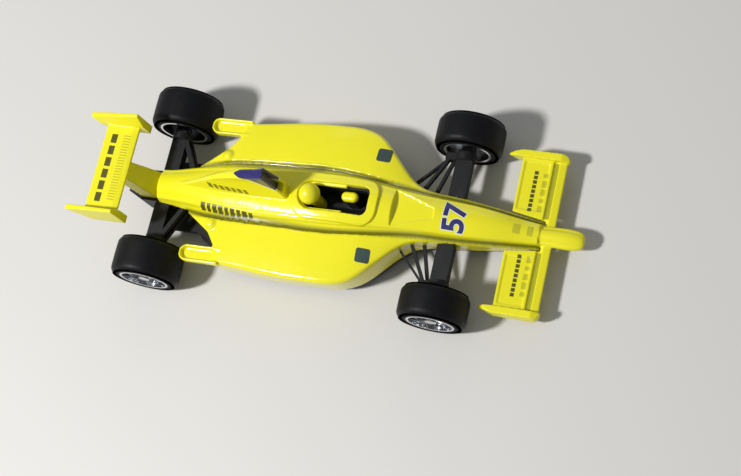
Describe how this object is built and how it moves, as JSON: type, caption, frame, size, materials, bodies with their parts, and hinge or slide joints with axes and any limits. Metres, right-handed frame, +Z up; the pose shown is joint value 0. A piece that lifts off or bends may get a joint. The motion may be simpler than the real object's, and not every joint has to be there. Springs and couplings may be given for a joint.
{
  "type": "toy open wheel racing car",
  "caption": "Small die-cast toy open wheel racing car with a long nose, sidepods, end-plated wings, a tall airbox, an open cockpit with a driver's helmet and free-rolling wheels on steel axles.",
  "frame": {"origin": "on the floor, midway between the nose tip and the rear wing, on the centre line", "axes": "+X forward towards the nose, +Y to the car's left, +Z up"},
  "size_m": [0.0772, 0.031, 0.0182],
  "materials": {
    "enamel": "glossy lemon yellow enamel on cast zinc",
    "wing_plastic": "glossy lemon yellow plastic",
    "black_plastic": "satin black moulded plastic",
    "tyre": "smooth black slick tyre",
    "rim": "bright chrome plating",
    "steel": "bright steel wire"
  },
  "bodies": {
    "chassis": {"airbox_duct": "black_plastic", "base_plate": "black_plastic", "cockpit_tub": "black_plastic", "driver_helmet": "wing_plastic", "front_axle": "steel", "front_rivet": "steel", "front_suspension_left": "black_plastic", "front_suspension_right": "black_plastic", "front_wing": "wing_plastic", "gearbox": "black_plastic", "lower_body": "enamel", "rear_axle": "steel", "rear_rivet": "steel", "rear_suspension_left": "black_plastic", "rear_suspension_right": "black_plastic", "rear_wing": "wing_plastic", "steering_boss": "wing_plastic", "upper_body": "enamel"},
    "wheel_front_left": {"tyre_front_left": "tyre", "rim_front_left": "rim"},
    "wheel_front_right": {"tyre_front_right": "tyre", "rim_front_right": "rim"},
    "wheel_rear_left": {"tyre_rear_left": "tyre", "rim_rear_left": "rim"},
    "wheel_rear_right": {"tyre_rear_right": "tyre", "rim_rear_right": "rim"}
  },
  "joints": [
    {"name": "front_left_roll", "type": "hinge", "parent": "chassis", "child": "wheel_front_left", "pos_m": [0.01955, 0.0131, 0.0051], "axis": [0, 1, 0], "continuous": true},
    {"name": "front_right_roll", "type": "hinge", "parent": "chassis", "child": "wheel_front_right", "pos_m": [0.01955, -0.0131, 0.0051], "axis": [0, 1, 0], "continuous": true},
    {"name": "rear_left_roll", "type": "hinge", "parent": "chassis", "child": "wheel_rear_left", "pos_m": [-0.02745, 0.0123, 0.00533], "axis": [0, 1, 0], "continuous": true},
    {"name": "rear_right_roll", "type": "hinge", "parent": "chassis", "child": "wheel_rear_right", "pos_m": [-0.02745, -0.0123, 0.00533], "axis": [0, 1, 0], "continuous": true}
  ]
}
